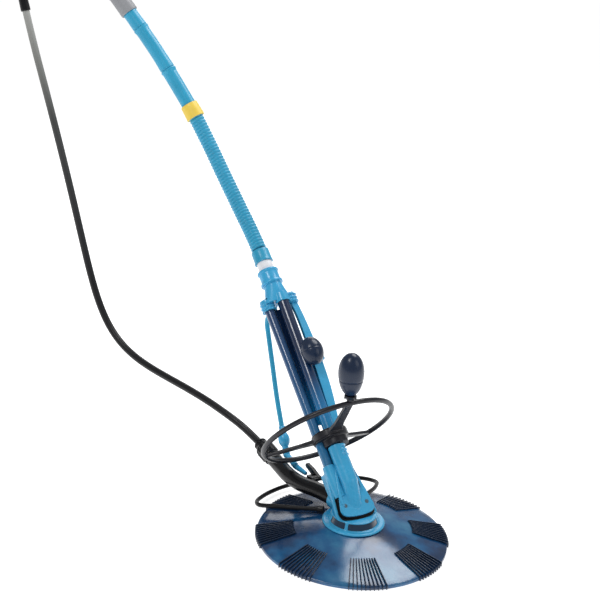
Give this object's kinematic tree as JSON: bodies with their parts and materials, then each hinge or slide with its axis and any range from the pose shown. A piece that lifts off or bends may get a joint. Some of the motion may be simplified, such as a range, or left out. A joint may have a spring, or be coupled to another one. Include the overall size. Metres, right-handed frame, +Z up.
{
  "type": "pool cleaner",
  "caption": "Suction pool cleaner with a ribbed skirt disc, leaning twin-tube body, deflector wheel, two floats, bumper hoop and hoses.",
  "frame": {"origin": "centre of the suction inlet in the plane of the pool floor, under the middle of the skirt disc", "axes": "+Z up from the pool floor; +X towards the nose of the foot, away from the leaning body; +Y to the cleaner's left, the side of the float rail"},
  "size_m": [1.3225, 0.5367, 0.9828],
  "materials": {
    "foot_plastic": "glossy",
    "tube_plastic": "glossy",
    "navy_tube": "glossy",
    "navy_plastic": "satin",
    "disc_rubber": "satin",
    "black_rubber": "matte",
    "black_plastic": "satin",
    "grey_plastic": "satin",
    "window_plastic": "glossy",
    "hose_blue": "satin",
    "yellow_plastic": "satin",
    "white_plastic": "satin",
    "cuff_grey": "satin",
    "ballast_iron": "matte",
    "stainless": "satin"
  },
  "bodies": {
    "cleaner": {"footpad": "black_rubber", "ballast_ring": "ballast_iron", "disc_clip": "stainless", "foot_housing": "foot_plastic", "window_inserts": "window_plastic", "cover_gasket": "black_rubber", "front_cover": "foot_plastic", "cover_screws": "stainless", "diaphragm": "black_rubber", "diaphragm_ring": "grey_plastic", "return_tube": "tube_plastic", "drive_tube": "navy_tube", "float_rail": "foot_plastic", "spine": "navy_tube", "bundle_collar": "grey_plastic", "hub_clip": "black_plastic", "small_float": "navy_plastic", "float_clip": "foot_plastic", "head_manifold": "foot_plastic", "swivel_housing": "foot_plastic", "swivel_seal": "black_rubber", "bypass_tube": "hose_blue", "check_valve": "foot_plastic", "bypass_elbow": "foot_plastic", "bypass_fitting": "foot_plastic", "arm_saddle": "black_plastic", "latch_screw": "stainless", "rear_arm": "black_plastic", "arm_flange": "black_plastic", "hose_tail": "black_plastic", "side_hose": "black_rubber", "bumper_hoop": "black_rubber", "hoop_sockets": "black_plastic", "side_end_cuff": "black_plastic"},
    "disc": {"suction_disc": "disc_rubber"},
    "wheel": {"deflector_wheel": "grey_plastic", "float_neck": "grey_plastic", "large_float": "navy_plastic"},
    "hose": {"hose_spigot": "white_plastic", "plain_band": "white_plastic", "hose_cuff": "hose_blue", "leader_hose": "hose_blue", "hose_joiner": "white_plastic", "upper_hose": "hose_blue", "main_end_cuff": "cuff_grey"},
    "collar": {"lock_collar": "yellow_plastic"},
    "nut": {"union_nut": "black_plastic"},
    "latch": {"latch_lever": "black_plastic"},
    "ball": {"valve_ball": "white_plastic"}
  },
  "joints": [
    {"name": "disc_spin", "type": "hinge", "parent": "cleaner", "child": "disc", "pos_m": [0, 0, 0.038], "axis": [0, 0, 1], "continuous": true},
    {"name": "wheel_spin", "type": "hinge", "parent": "cleaner", "child": "wheel", "pos_m": [-0.11729, 0, 0.18385], "axis": [-0.766, 0, 0.6428], "range_deg": [-140, 140]},
    {"name": "hose_swivel", "type": "hinge", "parent": "cleaner", "child": "hose", "pos_m": [-0.41681, 0, 0.43517], "axis": [-0.766, 0, 0.6428], "continuous": true},
    {"name": "collar_turn", "type": "hinge", "parent": "hose", "child": "collar", "pos_m": [-0.724, -0.05425, 0.735], "axis": [-0.5995, -0.281, 0.7494], "continuous": true},
    {"name": "nut_turn", "type": "hinge", "parent": "cleaner", "child": "nut", "pos_m": [-0.308, -0.038, 0.063], "axis": [-0.9737, -0.0847, 0.2117], "continuous": true},
    {"name": "latch_lift", "type": "hinge", "parent": "cleaner", "child": "latch", "pos_m": [-0.156, 0.0035, 0.064], "axis": [0, 1, 0], "range_deg": [0, 45]},
    {"name": "valve_travel", "type": "slide", "parent": "cleaner", "child": "ball", "axis": [0.5339, -0.0338, -0.8448], "range_m": [-0.0145, 0]}
  ]
}
